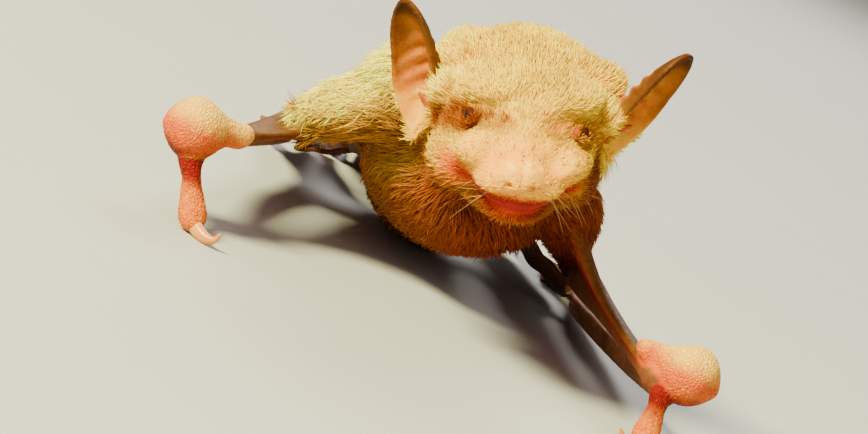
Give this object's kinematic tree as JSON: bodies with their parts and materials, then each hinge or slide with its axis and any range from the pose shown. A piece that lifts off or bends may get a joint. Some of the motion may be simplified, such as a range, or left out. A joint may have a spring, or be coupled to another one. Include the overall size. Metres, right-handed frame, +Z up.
{
  "type": "thick-thumbed bat",
  "caption": "Still life-size model of a small thick-thumbed bat propped on its thumbs with folded wings, head raised and cocked, with fleshy pads at the thumbs and a long tail in its membrane.",
  "frame": {"origin": "centre of the footprint's bounding box, on the floor", "axes": "-Y the way the bat faces, +X its left side, +Z up"},
  "size_m": [0.0402, 0.0708, 0.0242],
  "materials": {
    "fur": "soft golden-buff fur",
    "pink_skin": "bare pink skin, satin",
    "ear_skin": "thin brown skin, satin",
    "wing_skin": "dark brown skin, satin",
    "eye": "wet black",
    "claw": "pale translucent horn"
  },
  "bodies": {
    "root": {"arm_membrane_left": "wing_skin", "arm_membrane_right": "wing_skin", "calcar_left": "wing_skin", "calcar_right": "wing_skin", "ear_left": "ear_skin", "ear_right": "ear_skin", "eye_left": "eye", "eye_right": "eye", "foot_left": "pink_skin", "foot_right": "pink_skin", "forearm_left": "wing_skin", "forearm_right": "wing_skin", "front_membrane_left": "wing_skin", "front_membrane_right": "wing_skin", "hand_wing_left": "wing_skin", "hand_wing_right": "wing_skin", "head": "fur", "lower_jaw": "fur", "neck": "fur", "nose": "pink_skin", "shin_left": "wing_skin", "shin_right": "wing_skin", "tail": "wing_skin", "tail_membrane_left": "wing_skin", "tail_membrane_right": "wing_skin", "thigh_left": "fur", "thigh_right": "fur", "thumb_claw_left": "claw", "thumb_claw_right": "claw", "thumb_left": "pink_skin", "thumb_pad_left": "pink_skin", "thumb_pad_right": "pink_skin", "thumb_right": "pink_skin", "tragus_left": "ear_skin", "tragus_right": "ear_skin", "trunk": "fur", "upper_arm_left": "fur", "upper_arm_right": "fur"}
  },
  "joints": []
}
